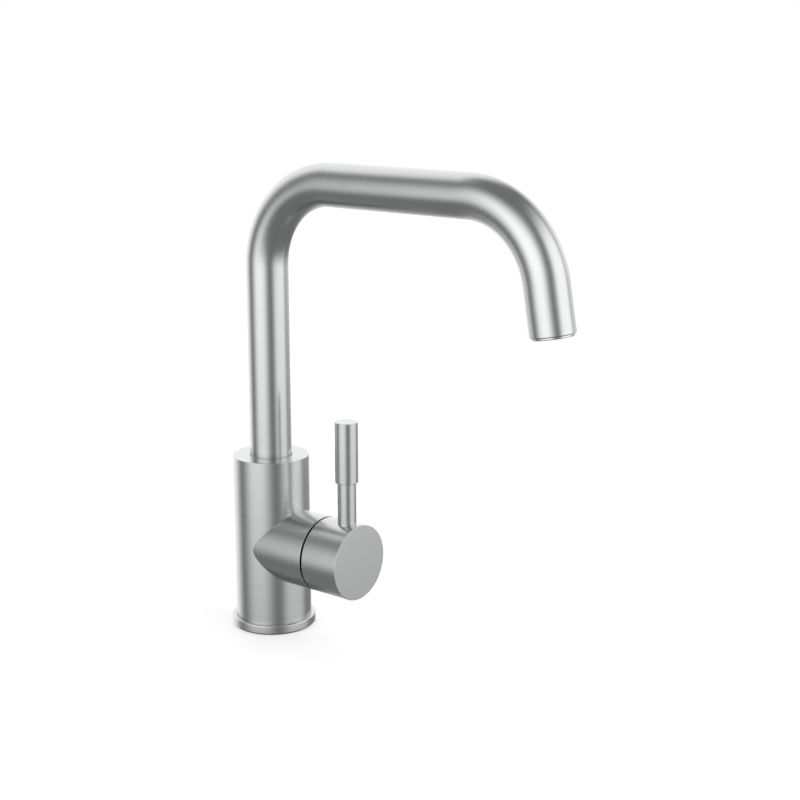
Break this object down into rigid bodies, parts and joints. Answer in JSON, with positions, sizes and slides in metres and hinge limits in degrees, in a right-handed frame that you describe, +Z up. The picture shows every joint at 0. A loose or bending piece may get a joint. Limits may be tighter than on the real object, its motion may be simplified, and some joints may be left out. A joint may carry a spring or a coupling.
{
  "type": "bathroom sink faucet",
  "caption": "Deck-mounted bathroom sink faucet in brushed steel: upright body, tall square-bent tubular swivel spout, and a side arm whose end cap carries an upright pin lever.",
  "frame": {"origin": "centre of the base gasket's underside, on the deck surface", "axes": "+Z up the riser; +X along the handle arm and the spout at rest, towards the user; +Y to the user's right, the cold side"},
  "size_m": [0.2366, 0.054, 0.339],
  "materials": {
    "brushed_steel": "fine satin brushing",
    "zinc_steel": "zinc plated",
    "screw_steel": "plain stainless",
    "brass": "turned",
    "black_rubber": "matte",
    "white_plastic": "moulded acetal",
    "grey_plastic": "moulded, glass filled",
    "ceramic": "lapped alumina"
  },
  "bodies": {
    "body": {"valve_body": "brushed_steel", "base_flange": "brushed_steel", "deck_gasket": "black_rubber", "mounting_stud": "zinc_steel", "clamp_pad": "black_rubber", "clamp_plate": "zinc_steel", "clamp_nut": "zinc_steel", "cartridge_housing": "grey_plastic", "cartridge_base": "grey_plastic", "port_seals": "black_rubber", "fixed_ceramic_disc": "ceramic", "bonnet_nut": "brass", "spout_bearing_ring": "white_plastic", "spout_thrust_washer": "white_plastic", "spout_retaining_screw": "screw_steel"},
    "spout": {"spout_tube": "brushed_steel", "spout_fitting": "brass", "spout_o_rings": "black_rubber", "outlet_ferrule": "brass", "aerator_housing": "brushed_steel", "aerator_screen": "screw_steel", "aerator_insert": "white_plastic", "aerator_washer": "black_rubber"},
    "turning_sleeve": {"stem_carrier": "grey_plastic", "pivot_pin": "screw_steel"},
    "handle": {"control_stem": "screw_steel", "handle_cap": "brushed_steel", "handle_set_screw": "screw_steel", "lever_rod": "brushed_steel", "lever_grip": "brushed_steel"},
    "sliding_disc": {"disc_carrier": "grey_plastic", "moving_ceramic_disc": "ceramic"}
  },
  "joints": [
    {"name": "spout_swivel", "type": "hinge", "parent": "body", "child": "spout", "pos_m": [0, 0, 0.107], "axis": [0, 0, 1], "continuous": true},
    {"name": "handle_turn", "type": "hinge", "parent": "body", "child": "turning_sleeve", "pos_m": [0.0533, 0, 0.0525], "axis": [1, 0, 0], "range_deg": [-50, 50]},
    {"name": "handle_tilt", "type": "hinge", "parent": "turning_sleeve", "child": "handle", "pos_m": [0.0533, 0, 0.0525], "axis": [0, 1, 0], "range_deg": [0, 18]},
    {"name": "disc_slide", "type": "slide", "parent": "turning_sleeve", "child": "sliding_disc", "axis": [0, 0, 1], "range_m": [0, 0.0028]}
  ],
  "couplings": [
    {"joint": "disc_slide", "follows": "handle_tilt", "m_per_rad": 0.0089}
  ]
}
